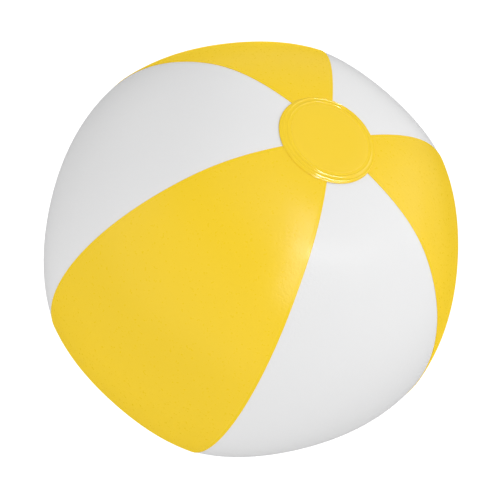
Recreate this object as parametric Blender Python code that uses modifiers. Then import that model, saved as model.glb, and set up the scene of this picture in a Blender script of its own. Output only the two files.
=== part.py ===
"""Inflatable beach ball of six welded panels, two end discs and a push-in valve.

Units are metres. The origin is the ball's centre and +Z is its pole axis. A yellow panel faces -Y, and the white
panel that carries the valve faces +Y.
"""

import math

import bmesh
import bpy
from mathutils import Vector

# Ball: an ellipse along each seam, a smaller one along each panel's middle, and flattened poles
PANELS = 6
SEAM_RADIUS = 0.1400
PANEL_RADIUS = 0.1356
SEAM_HALF_HEIGHT = 0.1363
RIDGE_SHARPNESS = 0.44
POLE_FLATTENING = 0.0088
POLE_FLAT_REACH = 0.091

# Film: yellow laps over white at every seam, and both end under the discs
FILM = 0.0003
GAP = 0.0003
SEAM_LAP = 0.004
TIP_RADIUS = 0.0245
PANEL_ROWS = 28
PANEL_COLUMNS = 10

# End discs: a flat middle inside a welded band that carries two raised rings
DISC_RADIUS = 0.0326
DISC_FILM = 0.0004
DISC_BAND_INNER_RADIUS = 0.0250
DISC_FLAT_RADIUS = 0.0240
DISC_FLAT_RISE = 0.0002
RING_RADII = (0.0280, 0.0306)
RING_HALF_WIDTH = 0.0007
RING_HEIGHT = 0.0002
DISC_STEPS = 48

# Valve, in its own frame: +Z points out of the ball, and 0 is the white film's outer face
FILM_HOLE_RADIUS = 0.0096
FLANGE_RADIUS = 0.0150
FLANGE_BORE_RADIUS = 0.0086
FLANGE_THICKNESS = 0.0008
FLANGE_DEPTH = 0.0009
COLLAR_WALL = 0.0006
COLLAR_TOP = -0.0016
COLLAR_SHOULDER = -0.0024
COLLAR_FOOT = -0.0132
STEM_RADIUS = 0.0045
STEM_BORE_RADIUS = 0.0031
STEM_LIP_RADIUS = 0.0050
STEM_LIP_HEIGHT = 0.0012
STEM_FOOT_RADIUS = 0.0054
STEM_FOOT_TOP = -0.0124
STEM_FOOT_BOTTOM = -0.0136
STEM_MOUTH = -0.0021
STEM_END = -0.0150
STEM_CHAMFER = 0.0003
PLUG_HEAD_RADIUS = 0.0050
PLUG_HEAD_TOP = -0.0002
PLUG_CROWN_RADIUS = 0.0035
PLUG_SHANK_RADIUS = 0.00275
PLUG_TIP_RADIUS = 0.0022
PLUG_TAPER_START = -0.0065
PLUG_TIP = -0.0085
TAB_REACH = 0.0072
TAB_WIDTH = 0.0034
TAB_THICKNESS = 0.0009
STRAP_HALF_THICKNESS = 0.00055
STRAP_ARC_START = math.radians(110)
STRAP_ARC_END = math.radians(260)
STRAP_ROOT_Z = -0.0028
STRAP_HEAD_Z = -0.0012
STRAP_POINTS = 12
FLAP_RADIUS = 0.0043
FLAP_THICKNESS = 0.0005
FLAP_HINGE_OFFSET = 0.0049
FLAP_TAB_WIDTH = 0.0040
FLAP_TAB_OVERHANG = 0.0003
VALVE_STEPS = 32
HOLE_STEPS = 48

# Linear colours and finishes, from the photograph
YELLOW = (0.887, 0.597, 0.032)
WHITE = (0.86, 0.86, 0.86)
CLEAR_WHITE = (0.78, 0.80, 0.82)
FILM_ROUGHNESS = 0.38
VALVE_ROUGHNESS = 0.30

# Sizes that follow from the ones above
PANEL_STEP = 2 * math.pi / PANELS
WHITE_INSET = FILM + GAP
TIP_HEIGHT = SEAM_HALF_HEIGHT * math.sqrt(1 - (TIP_RADIUS / SEAM_RADIUS) ** 2)
PANEL_HALF_HEIGHT = TIP_HEIGHT / math.sqrt(1 - (TIP_RADIUS / PANEL_RADIUS) ** 2)
VALVE_FACE = PANEL_RADIUS - WHITE_INSET
MERGE_DISTANCE = 0.00001
SMOOTH_ANGLE = math.radians(35)


def clear_scene():
    """Empty the file of its objects."""
    for old in list(bpy.data.objects):
        bpy.data.objects.remove(old, do_unlink=True)


def new_collection(name):
    """A collection linked to the scene."""
    collection = bpy.data.collections.new(name)
    bpy.context.scene.collection.children.link(collection)
    return collection


def new_material(name, colour, roughness):
    """A plain plastic finish."""
    material = bpy.data.materials.new(name)
    material.use_nodes = True
    shader = material.node_tree.nodes["Principled BSDF"]
    shader.inputs["Base Color"].default_value = (*colour, 1.0)
    shader.inputs["Roughness"].default_value = roughness
    shader.inputs["Metallic"].default_value = 0.0
    return material


def add_object(name, data, collection, material=None, parent=None):
    """Link mesh or curve data into a collection as a named object."""
    new = bpy.data.objects.new(name, data)
    collection.objects.link(new)
    new.parent = parent
    if material is not None:
        data.materials.append(material)
    return new


def mesh_from(builder, name):
    """Turn a finished bmesh into smooth-shaded mesh data."""
    mesh = bpy.data.meshes.new(name)
    builder.to_mesh(mesh)
    builder.free()
    mesh.shade_smooth()
    mesh.set_sharp_from_angle(angle=SMOOTH_ANGLE)
    return mesh


def make_cutter(cutter):
    """Keep a helper solid out of renders."""
    cutter.hide_render = True
    cutter.display_type = "WIRE"


def add_boolean(target, cutter, operation):
    """Cut a helper solid from an object, or join it on."""
    boolean = target.modifiers.new(operation.lower(), "BOOLEAN")
    boolean.operation = operation
    boolean.solver = "EXACT"
    boolean.object = cutter


def turned(name, outline, steps, closed, collection, material, parent=None):
    """Turn an outline of (radius, height) points about the object's Z axis."""
    mesh = bpy.data.meshes.new(name)
    count = len(outline)
    edges = [(i, i + 1) for i in range(count - 1)]
    if closed:
        edges.append((count - 1, 0))
    mesh.from_pydata([(radius, 0.0, height) for radius, height in outline], edges, [])
    piece = add_object(name, mesh, collection, material, parent)
    screw = piece.modifiers.new("turn", "SCREW")
    screw.steps = steps
    screw.render_steps = steps
    screw.use_merge_vertices = True
    screw.merge_threshold = MERGE_DISTANCE
    screw.use_smooth_shade = True
    return piece


def meridian(u, radius, half_height):
    """Ellipse point (r, z): u is 1 at the upper panel tip, 0 at the equator and -1 at the lower tip."""
    angle = u * math.acos(TIP_RADIUS / radius)
    return radius * math.cos(angle), half_height * math.sin(angle)


def ridge_share(azimuth):
    """0 along a panel's middle and 1 on a seam: partly a hexagon's corner, partly a soft wave."""
    half = PANEL_STEP / 2
    angle = azimuth % PANEL_STEP - half
    corner = (1 / math.cos(angle) - 1) / (1 / math.cos(half) - 1)
    wave = (1 - math.cos(PANELS * angle)) / 2
    return RIDGE_SHARPNESS * corner + (1 - RIDGE_SHARPNESS) * wave


def pole_flattening(radius):
    """How far the skin is pressed in at a distance from the pole axis."""
    return POLE_FLATTENING * max(0.0, 1 - (radius / POLE_FLAT_REACH) ** 2) ** 2


def skin_point(u, azimuth, inset):
    """Point of the inflated skin, moved towards the ball's centre by inset."""
    seam_r, seam_z = meridian(u, SEAM_RADIUS, SEAM_HALF_HEIGHT)
    panel_r, panel_z = meridian(u, PANEL_RADIUS, PANEL_HALF_HEIGHT)
    share = ridge_share(azimuth)
    r = panel_r + (seam_r - panel_r) * share
    z = panel_z + (seam_z - panel_z) * share
    z -= math.copysign(pole_flattening(r), z)
    point = Vector((r * math.cos(azimuth), r * math.sin(azimuth), z))
    return point - point.normalized() * inset


def column_azimuths(u, under):
    """Azimuths across one panel, from its first edge. An under panel runs one lap past each seam."""
    seam_r, _ = meridian(u, SEAM_RADIUS, SEAM_HALF_HEIGHT)
    lap = SEAM_LAP / seam_r
    edge = -lap if under else 0.0
    second = edge + lap
    inner_step = (PANEL_STEP - 2 * second) / PANEL_COLUMNS
    inner = [second + i * inner_step for i in range(PANEL_COLUMNS + 1)]
    return [edge, *inner, PANEL_STEP - edge]


def add_panel(name, index, under, collection, material):
    """One gore: a flat grid bent onto the skin, then given the film's thickness inwards."""
    columns = PANEL_COLUMNS + 2
    grid = bmesh.new()
    bmesh.ops.create_grid(grid, x_segments=columns, y_segments=PANEL_ROWS, size=1.0)
    inset = WHITE_INSET if under else 0.0
    for vertex in grid.verts:
        u = vertex.co.y
        column = round((vertex.co.x + 1) / 2 * columns)
        azimuth = index * PANEL_STEP + column_azimuths(u, under)[column]
        vertex.co = skin_point(u, azimuth, inset)
    panel = add_object(name, mesh_from(grid, name), collection, material)
    wall = panel.modifiers.new("film", "SOLIDIFY")
    wall.thickness = FILM
    wall.offset = -1.0
    wall.use_even_offset = True
    return panel


def add_panels(collection, yellow, white):
    """Six gores, yellow over white in turn. Returns them by name."""
    panels = {}
    for index in range(PANELS):
        under = index % 2 == 1
        colour = "white" if under else "yellow"
        name = f"panel_{colour}_{index // 2 + 1}"
        panels[name] = add_panel(name, index, under, collection, white if under else yellow)
    return panels


def disc_band_top(radius):
    """Height of an end disc's welded band, which lies on the skin."""
    skin = SEAM_HALF_HEIGHT * math.sqrt(1 - (radius / SEAM_RADIUS) ** 2) - pole_flattening(radius)
    return skin + GAP + DISC_FILM


def disc_outline():
    """Cross-section of an end disc, from its top centre round the rim to its underside centre."""
    flat = disc_band_top(DISC_BAND_INNER_RADIUS) + DISC_FLAT_RISE
    outline = [(0.0, flat), (DISC_FLAT_RADIUS, flat)]
    outline.append((DISC_BAND_INNER_RADIUS, disc_band_top(DISC_BAND_INNER_RADIUS)))
    for ring in RING_RADII:
        for offset, rise in ((-RING_HALF_WIDTH, 0.0), (0.0, RING_HEIGHT), (RING_HALF_WIDTH, 0.0)):
            outline.append((ring + offset, disc_band_top(ring + offset) + rise))
    rim_top = disc_band_top(DISC_RADIUS)
    outline += [(DISC_RADIUS, rim_top - DISC_FILM / 4), (DISC_RADIUS, rim_top - DISC_FILM)]
    inner_radius = DISC_BAND_INNER_RADIUS - DISC_FILM
    outline.append((inner_radius, disc_band_top(inner_radius) - DISC_FILM))
    outline += [(DISC_FLAT_RADIUS - DISC_FILM, flat - DISC_FILM), (0.0, flat - DISC_FILM)]
    return outline


def add_end_discs(collection, material):
    """The same disc at both poles. The lower one is turned over."""
    for name, turn in (("end_disc_top", 0.0), ("end_disc_bottom", math.pi)):
        disc = turned(name, disc_outline(), DISC_STEPS, False, collection, material)
        disc.rotation_euler.x = turn


def add_valve_frame(collection):
    """Empty at the valve's place on the +Y panel, with its Z axis pointing out of the ball."""
    frame = add_object("valve_frame", None, collection)
    frame.location = (0.0, VALVE_FACE, 0.0)
    frame.rotation_euler.x = -math.pi / 2
    return frame


def cut_film_hole(panel, cutters, frame):
    """Round hole through the film for the valve."""
    tool = bmesh.new()
    bmesh.ops.create_cone(tool, cap_ends=True, segments=HOLE_STEPS, radius1=FILM_HOLE_RADIUS,
                          radius2=FILM_HOLE_RADIUS, depth=FILM_HOLE_RADIUS)
    cutter = add_object("film_hole_cutter", mesh_from(tool, "film_hole_cutter"), cutters, parent=frame)
    make_cutter(cutter)
    add_boolean(panel, cutter, "DIFFERENCE")


def dish(radius):
    """How far the ball's skin has fallen away at a distance from the valve's axis."""
    return SEAM_RADIUS - math.sqrt(SEAM_RADIUS ** 2 - radius ** 2)


def add_flange(collection, material, frame):
    """Ring behind the film, dished to the ball's curve."""
    inner_top = -FLANGE_DEPTH - dish(FLANGE_BORE_RADIUS)
    outer_top = -FLANGE_DEPTH - dish(FLANGE_RADIUS)
    outline = [
        (FLANGE_BORE_RADIUS, inner_top),
        (FLANGE_RADIUS, outer_top),
        (FLANGE_RADIUS, outer_top - FLANGE_THICKNESS),
        (FLANGE_BORE_RADIUS, inner_top - FLANGE_THICKNESS),
    ]
    turned("valve_flange", outline, VALVE_STEPS, True, collection, material, frame)


def add_collar(collection, material, frame):
    """Thin funnel from the flange down to the stem's foot, folded in as the valve rests."""
    top = FLANGE_BORE_RADIUS - GAP
    foot = STEM_FOOT_RADIUS + GAP
    outline = [
        (top - COLLAR_WALL, COLLAR_TOP),
        (top, COLLAR_TOP),
        (top, COLLAR_SHOULDER),
        (foot + COLLAR_WALL, COLLAR_FOOT),
        (foot, COLLAR_FOOT),
        (foot, COLLAR_FOOT + COLLAR_WALL),
        (top - COLLAR_WALL, COLLAR_SHOULDER),
    ]
    turned("valve_collar", outline, VALVE_STEPS, True, collection, material, frame)


def add_stem(collection, material, frame):
    """Tube with a lip at its mouth and a foot where the collar is moulded on."""
    lip_bottom = STEM_MOUTH - STEM_LIP_HEIGHT
    outline = [
        (STEM_BORE_RADIUS + STEM_CHAMFER, STEM_MOUTH),
        (STEM_LIP_RADIUS - STEM_CHAMFER, STEM_MOUTH),
        (STEM_LIP_RADIUS, STEM_MOUTH - STEM_CHAMFER),
        (STEM_LIP_RADIUS, lip_bottom),
        (STEM_RADIUS, lip_bottom - STEM_CHAMFER),
        (STEM_RADIUS, STEM_FOOT_TOP + STEM_CHAMFER),
        (STEM_FOOT_RADIUS, STEM_FOOT_TOP),
        (STEM_FOOT_RADIUS, STEM_FOOT_BOTTOM),
        (STEM_RADIUS, STEM_FOOT_BOTTOM - STEM_CHAMFER),
        (STEM_RADIUS, STEM_END),
        (STEM_BORE_RADIUS, STEM_END),
        (STEM_BORE_RADIUS, STEM_MOUTH - STEM_CHAMFER),
    ]
    turned("valve_stem", outline, VALVE_STEPS, True, collection, material, frame)


def block(name, low, high, cutters, parent):
    """Helper box between two corners, to be joined onto a piece."""
    size = Vector(high) - Vector(low)
    box = bmesh.new()
    bmesh.ops.create_cube(box, size=1.0)
    bmesh.ops.scale(box, vec=size, verts=box.verts)
    bmesh.ops.translate(box, vec=(Vector(low) + Vector(high)) / 2, verts=box.verts)
    helper = add_object(name, mesh_from(box, name), cutters, parent=parent)
    make_cutter(helper)
    return helper


def add_plug(collection, cutters, material, frame):
    """Stopper: domed head, tapered shank and a finger tab on one side."""
    head_bottom = STEM_MOUTH + GAP
    outline = [
        (0.0, PLUG_HEAD_TOP),
        (PLUG_CROWN_RADIUS, PLUG_HEAD_TOP - STEM_CHAMFER / 3),
        (PLUG_HEAD_RADIUS - STEM_CHAMFER, PLUG_HEAD_TOP - STEM_CHAMFER),
        (PLUG_HEAD_RADIUS, PLUG_HEAD_TOP - 2 * STEM_CHAMFER),
        (PLUG_HEAD_RADIUS, head_bottom + STEM_CHAMFER),
        (PLUG_HEAD_RADIUS - STEM_CHAMFER, head_bottom),
        (PLUG_SHANK_RADIUS, head_bottom),
        (PLUG_SHANK_RADIUS, PLUG_TAPER_START),
        (PLUG_TIP_RADIUS, PLUG_TIP),
        (0.0, PLUG_TIP),
    ]
    plug = turned("valve_plug", outline, VALVE_STEPS, False, collection, material, frame)
    tab_top = head_bottom + STEM_CHAMFER + TAB_THICKNESS
    low = (PLUG_SHANK_RADIUS, -TAB_WIDTH / 2, tab_top - TAB_THICKNESS)
    high = (TAB_REACH, TAB_WIDTH / 2, tab_top)
    add_boolean(plug, block("plug_tab", low, high, cutters, frame), "UNION")


def add_strap(collection, material, frame):
    """Strap that lies round the stem, from its lip up to the plug's head."""
    radius = STEM_LIP_RADIUS + GAP + STRAP_HALF_THICKNESS
    curve = bpy.data.curves.new("plug_strap", "CURVE")
    curve.dimensions = "3D"
    curve.bevel_depth = STRAP_HALF_THICKNESS
    curve.bevel_resolution = 2
    curve.use_fill_caps = True
    spline = curve.splines.new("POLY")
    spline.points.add(STRAP_POINTS - 1)
    for i, point in enumerate(spline.points):
        share = i / (STRAP_POINTS - 1)
        angle = STRAP_ARC_START + (STRAP_ARC_END - STRAP_ARC_START) * share
        height = STRAP_ROOT_Z + (STRAP_HEAD_Z - STRAP_ROOT_Z) * share
        point.co = (radius * math.cos(angle), radius * math.sin(angle), height, 1.0)
    add_object("plug_strap", curve, collection, material, frame)


def add_flap(collection, cutters, material, frame):
    """One-way flap over the stem's inner end. Its origin is on the hinge, which is at the top."""
    hinge_z = STEM_END - GAP - FLAP_THICKNESS / 2
    disc = bmesh.new()
    bmesh.ops.create_cone(disc, cap_ends=True, segments=VALVE_STEPS, radius1=FLAP_RADIUS,
                          radius2=FLAP_RADIUS, depth=FLAP_THICKNESS)
    bmesh.ops.translate(disc, vec=(0.0, FLAP_HINGE_OFFSET, 0.0), verts=disc.verts)
    flap = add_object("check_flap", mesh_from(disc, "check_flap"), collection, material, frame)
    flap.location = (0.0, -FLAP_HINGE_OFFSET, hinge_z)
    low = (-FLAP_TAB_WIDTH / 2, -FLAP_TAB_OVERHANG, -FLAP_THICKNESS / 2)
    high = (FLAP_TAB_WIDTH / 2, FLAP_HINGE_OFFSET, FLAP_THICKNESS / 2)
    add_boolean(flap, block("flap_tab", low, high, cutters, flap), "UNION")


def main():
    """Build every piece of the ball."""
    clear_scene()
    ball = new_collection("beach_ball")
    cutters = new_collection("cutters")
    yellow = new_material("yellow_film", YELLOW, FILM_ROUGHNESS)
    white = new_material("white_film", WHITE, FILM_ROUGHNESS)
    valve = new_material("valve_plastic", CLEAR_WHITE, VALVE_ROUGHNESS)
    panels = add_panels(ball, yellow, white)
    add_end_discs(ball, yellow)
    frame = add_valve_frame(ball)
    cut_film_hole(panels["panel_white_1"], cutters, frame)
    add_flange(ball, valve, frame)
    add_collar(ball, valve, frame)
    add_stem(ball, valve, frame)
    add_plug(ball, cutters, valve, frame)
    add_strap(ball, valve, frame)
    add_flap(ball, cutters, valve, frame)


main()
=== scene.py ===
# %% [markdown]
# This file dresses an inflatable beach ball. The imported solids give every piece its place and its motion,
# but their skin is coarse. Here each piece gets a fine surface worked out with numpy, each surface gets its
# finish, and a small studio with one camera is set up around it. Lengths are in metres, but the valve's
# outlines are drawn in millimetres, because its parts are small.

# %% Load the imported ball
import math

import bpy
import numpy as np
from mathutils import Matrix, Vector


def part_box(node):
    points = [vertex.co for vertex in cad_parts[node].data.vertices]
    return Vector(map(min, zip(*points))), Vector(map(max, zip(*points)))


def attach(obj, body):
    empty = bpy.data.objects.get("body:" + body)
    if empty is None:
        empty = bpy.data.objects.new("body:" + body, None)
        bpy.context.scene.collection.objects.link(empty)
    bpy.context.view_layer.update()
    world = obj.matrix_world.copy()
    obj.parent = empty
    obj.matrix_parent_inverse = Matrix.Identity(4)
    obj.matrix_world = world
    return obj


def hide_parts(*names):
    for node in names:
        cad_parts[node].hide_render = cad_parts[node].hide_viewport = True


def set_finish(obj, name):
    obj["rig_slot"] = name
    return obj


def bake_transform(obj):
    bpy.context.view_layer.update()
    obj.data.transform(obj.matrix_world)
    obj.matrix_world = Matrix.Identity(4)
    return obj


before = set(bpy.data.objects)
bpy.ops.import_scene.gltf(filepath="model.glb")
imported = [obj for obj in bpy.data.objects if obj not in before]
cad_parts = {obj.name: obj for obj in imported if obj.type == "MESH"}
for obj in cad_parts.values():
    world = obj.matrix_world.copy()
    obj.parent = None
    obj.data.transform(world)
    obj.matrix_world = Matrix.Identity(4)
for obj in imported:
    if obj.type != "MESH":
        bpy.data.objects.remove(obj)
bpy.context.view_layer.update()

# %% [markdown]
# The camera comes first, because everything is judged through it. The ball is seen from above and from its
# yellow front, and it leans: its pole points to the upper right. Blender could track a target with a
# constraint, but a roll is clearer as three directions, which become the columns of the camera's matrix.

# %% Set up the camera
VIEW_AZIMUTH = math.radians(7.67)
VIEW_ELEVATION = math.radians(49.59)
VIEW_ROLL = math.radians(35.4)
VIEW_DISTANCE = 1.2355
LENS_MM = 134.7
PICTURE_PIXELS = 500
BALL_CENTRE_PIXEL = np.array([251.4, 248.8])


def camera_axes(azimuth, elevation, roll):
    """Right, up and back of a camera that looks at the origin: a level pair, turned by roll about back."""
    back = np.array([
        math.sin(azimuth) * math.cos(elevation),
        -math.cos(azimuth) * math.cos(elevation),
        math.sin(elevation),
    ])
    level_right = np.array([math.cos(azimuth), math.sin(azimuth), 0.0])
    level_up = np.cross(back, level_right)
    right = level_right * math.cos(roll) + level_up * math.sin(roll)
    return right, np.cross(back, right), back


def pose_matrix(x_axis, y_axis, z_axis, place):
    """Matrix whose columns are three axes and a place."""
    columns = np.stack([x_axis, y_axis, z_axis, place], axis=1)
    return Matrix(np.vstack([columns, [0.0, 0.0, 0.0, 1.0]]).tolist())


view_right, view_up, view_back = camera_axes(VIEW_AZIMUTH, VIEW_ELEVATION, VIEW_ROLL)
camera_data = bpy.data.cameras.new("studio_camera")
camera_data.lens = LENS_MM
off_centre = (PICTURE_PIXELS / 2 - BALL_CENTRE_PIXEL) / PICTURE_PIXELS
camera_data.shift_x = off_centre[0]
camera_data.shift_y = -off_centre[1]
camera = bpy.data.objects.new("studio_camera", camera_data)
bpy.context.scene.collection.objects.link(camera)
camera.matrix_world = pose_matrix(view_right, view_up, view_back, view_back * VIEW_DISTANCE)
bpy.context.scene.camera = camera
print("camera at", np.round(view_back * VIEW_DISTANCE, 3))

# %% [markdown]
# The ball is six gores of film, welded edge over edge, that pull each other tight when it is blown up.
# Along a seam the film stands on a ridge, across a gore it is a little flatter, and near the poles the end
# discs hold it flat. So the skin is two ellipses, one along the seams and a smaller one along the middles,
# with a blend between them. A cloth simulation could find the shape too, but a formula gives it at any
# fineness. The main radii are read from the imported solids.

# %% Work out the skin
GORES = 6
GORE_ANGLE = 2 * math.pi / GORES
SEAM_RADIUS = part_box("panel_yellow_1")[1].x
MIDDLE_RADIUS = -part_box("panel_yellow_3")[0].y
SEAM_HALF_HEIGHT = 0.1363
TIP_RADIUS = 0.0245
RIDGE_SHARPNESS = 0.44
POLE_FLATTENING = 0.0088
POLE_FLAT_REACH = 0.091
TIP_HEIGHT = SEAM_HALF_HEIGHT * math.sqrt(1 - (TIP_RADIUS / SEAM_RADIUS) ** 2)
MIDDLE_HALF_HEIGHT = TIP_HEIGHT / math.sqrt(1 - (TIP_RADIUS / MIDDLE_RADIUS) ** 2)


def meridian(u, radius, half_height):
    """Ellipse point (r, z): u is 1 at the upper tip of a gore, 0 at the equator and -1 at the lower tip."""
    angle = u * math.acos(TIP_RADIUS / radius)
    return radius * np.cos(angle), half_height * np.sin(angle)


def ridge_share(azimuth):
    """0 along a gore's middle and 1 on a seam: partly a hexagon's corner, partly a cosine wave."""
    half = GORE_ANGLE / 2
    angle = azimuth % GORE_ANGLE - half
    corner = (1 / np.cos(angle) - 1) / (1 / math.cos(half) - 1)
    wave = (1 - np.cos(GORES * angle)) / 2
    return RIDGE_SHARPNESS * corner + (1 - RIDGE_SHARPNESS) * wave


def pole_flattening(r):
    """How far the end discs hold the film in: a bell (1 - (r / reach) squared) squared about the pole."""
    return POLE_FLATTENING * np.maximum(0.0, 1 - (r / POLE_FLAT_REACH) ** 2) ** 2


def ball_skin(u, azimuth, rise):
    """Skin points for arrays of u and azimuth: the blend of both ellipses, moved outwards by rise."""
    seam_r, seam_z = meridian(u, SEAM_RADIUS, SEAM_HALF_HEIGHT)
    middle_r, middle_z = meridian(u, MIDDLE_RADIUS, MIDDLE_HALF_HEIGHT)
    share = ridge_share(azimuth)
    r = middle_r + (seam_r - middle_r) * share
    z = middle_z + (seam_z - middle_z) * share
    z = z - np.sign(z) * pole_flattening(r)
    points = np.stack([r * np.cos(azimuth), r * np.sin(azimuth), z], axis=-1)
    outward = points / np.linalg.norm(points, axis=-1, keepdims=True)
    return points + outward * np.asarray(rise)[..., None]


print("seam radius", round(SEAM_RADIUS, 4), "middle radius", round(MIDDLE_RADIUS, 4))

# %% [markdown]
# Every piece reaches Blender the same way: an array of points and an array of faces become a mesh, the solid
# that it stands for is hidden, and the new object is marked with the finish that it takes. Most pieces are
# then hung on the body that they ride on. A point attribute named weld marks where a hot die has pressed the
# film, so that the finish can be smoother there.

# %% Helpers that make a piece
pieces = []


def smoothstep(low, high, x):
    """0 below low and 1 above high, with the soft cubic 3t^2 - 2t^3 between."""
    t = np.clip((x - low) / (high - low), 0.0, 1.0)
    return t * t * (3 - 2 * t)


def bump(x, middle, half_width):
    """A raised cosine of height 1 about middle, which reaches 0 at half_width on both sides."""
    t = np.clip(np.abs(x - middle) / half_width, 0.0, 1.0)
    return (1 + np.cos(math.pi * t)) / 2


def grid_faces(rows, columns):
    """Quads of an open grid whose points are numbered row by row."""
    corner = np.arange(rows - 1)[:, None] * columns + np.arange(columns - 1)[None, :]
    return np.stack([corner, corner + 1, corner + columns + 1, corner + columns], axis=-1).reshape(-1, 4)


def add_piece(name, points, faces, slot, node, weld=None):
    """A smooth mesh object that stands for a CAD node. faces lists index arrays, one for each face size."""
    mesh = bpy.data.meshes.new(name)
    corners = [face for array in faces for face in array.tolist()]
    mesh.from_pydata(points.reshape(-1, 3).tolist(), [], corners)
    mesh.shade_smooth()
    if weld is not None:
        mark = mesh.attributes.new("weld", "FLOAT", "POINT")
        mark.data.foreach_set("value", np.ravel(weld).astype(np.float32))
    piece = bpy.data.objects.new(name, mesh)
    bpy.context.scene.collection.objects.link(piece)
    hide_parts(node)
    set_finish(piece, slot)
    pieces.append(piece)
    print(name, len(mesh.vertices), "points", len(mesh.polygons), "faces")
    return piece


def give_thickness(piece, thickness):
    """Turn a one-sided film into a wall that grows inwards."""
    wall = piece.modifiers.new("film", "SOLIDIFY")
    wall.thickness = thickness
    wall.offset = -1.0


# %% [markdown]
# The yellow gores lie on top. Each is a grid bent onto the skin: rows run from pole to pole, columns run
# across. The columns crowd together near both cut edges, where a heated die has welded the film onto the
# white gore below. The weld leaves a narrow pressed band with a soft bead on its inner side. Towards the
# poles the die runs along a tighter curve and presses harder, so the bead grows there. It is real geometry
# here, and catches light from any side. A real cut edge isn't quite true, so some of them stray from the
# seam line by up to 3 mm. Yellow and white gores take turns around the axis, so the yellow ones have the
# even places.

# %% Yellow gores
FILM = 0.0003
GORE_ROWS = 160
EDGE_COLUMNS = 22
INNER_COLUMNS = 44
EDGE_RUN = 0.0045
EDGE_CROWDING = 1.5
WELD_WIDTH = 0.0022
WELD_FADE = 0.0004
WELD_DEPTH = 0.00002
BEAD_HEIGHT = 0.00006
BEAD_HALF_WIDTH = 0.0006
BEAD_EQUATOR_SHARE = 0.1
BEAD_GROWTH_FROM, BEAD_GROWTH_TO = 0.60, 0.90
CUT_EDGE_ROUNDING = 0.0002
STRAY_FROM, STRAY_TO = 0.55, 0.95
# For both cut edges of each gore: how far the edge passes its seam line at the upper tip, and below it.
CUT_STRAYS = {
    1: ((0.0, -0.0010), (-0.0005, -0.0015)),
    2: ((0.0, 0.0), (-0.0030, -0.0030)),
    3: ((0.0, 0.0), (0.0014, 0.0)),
}

row_u = np.linspace(-1.0, 1.0, GORE_ROWS)
row_seam_r = meridian(row_u, SEAM_RADIUS, SEAM_HALF_HEIGHT)[0][:, None]


def gore_azimuths(before, after):
    """Azimuths across a gore, rows by columns: fixed distances near each edge, even shares of the rest.
    The film starts a length before its first seam line and ends a length after its second one."""
    near = EDGE_RUN * np.linspace(0.0, 1.0, EDGE_COLUMNS) ** EDGE_CROWDING
    first = (near - before) / row_seam_r
    last = GORE_ANGLE - (near[::-1] - after) / row_seam_r
    share = np.linspace(0.0, 1.0, INNER_COLUMNS + 2)[1:-1]
    inner = first[:, -1:] + (last[:, :1] - first[:, -1:]) * share
    return np.concatenate([first, inner, last], axis=1)


def cut_stray(at_tip, below):
    """How far a cut edge passes its seam line, row by row: one length below, another near the upper tip."""
    return (below + (at_tip - below) * smoothstep(STRAY_FROM, STRAY_TO, row_u))[:, None]


def lap_weld_mark(distance):
    """1 on the pressed band along a cut edge and 0 elsewhere."""
    return 1 - smoothstep(WELD_WIDTH - WELD_FADE, WELD_WIDTH, distance)


def lap_weld_relief(distance, u):
    """Height of a lap weld at a distance from the cut edge: rounded edge, pressed band, then a bead that
    grows from a share of its height at the equator to the whole near the tips."""
    edge = -CUT_EDGE_ROUNDING * (1 - smoothstep(0.0, CUT_EDGE_ROUNDING, distance))
    band = -WELD_DEPTH * lap_weld_mark(distance)
    growth = smoothstep(BEAD_GROWTH_FROM, BEAD_GROWTH_TO, np.abs(u))
    bead_height = BEAD_HEIGHT * (BEAD_EQUATOR_SHARE + (1 - BEAD_EQUATOR_SHARE) * growth)
    return edge + band + bead_height * bump(distance, WELD_WIDTH + BEAD_HALF_WIDTH / 2, BEAD_HALF_WIDTH)


def add_yellow_gore(number, place, before, after):
    """A yellow gore: the skin, with welds along cut edges that pass their seams by before and after."""
    azimuth = gore_azimuths(before, after)
    distance = np.minimum(azimuth * row_seam_r + before, (GORE_ANGLE - azimuth) * row_seam_r + after)
    u = np.broadcast_to(row_u[:, None], azimuth.shape)
    points = ball_skin(u, azimuth + place * GORE_ANGLE, lap_weld_relief(distance, u))
    gore = add_piece(f"yellow_gore_{number}", points, [grid_faces(*azimuth.shape)], "yellow_film",
                     f"panel_yellow_{number}", lap_weld_mark(distance))
    give_thickness(gore, FILM)
    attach(gore, "ball")


for number, (first_cut, second_cut) in CUT_STRAYS.items():
    add_yellow_gore(number, 2 * number - 2, cut_stray(*first_cut), cut_stray(*second_cut))

# %% [markdown]
# The white gores have the odd places. Each is cut 4 mm past its seam lines, and that strip lies under the
# yellow, more than one film lower. From the seam inwards the film rises a little again. Two of them are
# plain grids.

# %% White gores
WHITE_SUNK = -0.00042
WHITE_LEVEL = -0.00025
WHITE_RISE_RUN = 0.010
SEAM_LAP = 0.004


def white_gore_grid(place):
    """Points of a white gore, rows by columns: sunk under the yellow, then rising to its own level."""
    azimuth = gore_azimuths(SEAM_LAP, SEAM_LAP)
    distance = np.minimum(azimuth, GORE_ANGLE - azimuth) * row_seam_r
    rise = WHITE_SUNK + (WHITE_LEVEL - WHITE_SUNK) * smoothstep(0.0, WHITE_RISE_RUN, distance)
    u = np.broadcast_to(row_u[:, None], azimuth.shape)
    return ball_skin(u, azimuth + place * GORE_ANGLE, rise)


def add_white_gore(number, points, faces, weld):
    """One white gore, whatever its grid."""
    gore = add_piece(f"white_gore_{number}", points, faces, "white_film", f"panel_white_{number}", weld)
    give_thickness(gore, FILM)
    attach(gore, "ball")


for number in (2, 3):
    grid = white_gore_grid(2 * number - 1)
    add_white_gore(number, grid, [grid_faces(*grid.shape[:2])], np.zeros(grid.shape[:2]))

# %% [markdown]
# The white gore at the back has a round hole for the valve, and around it a pressed ring where the film is
# welded to the valve's flange. A Boolean cut would make the hole, but its edge would be ragged and the ring
# needs fine rings of points anyway. So a window is left out of the grid and filled with a net of its own:
# it starts on the window's border, turns into a circle and then shrinks ring by ring to the hole.

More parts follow.
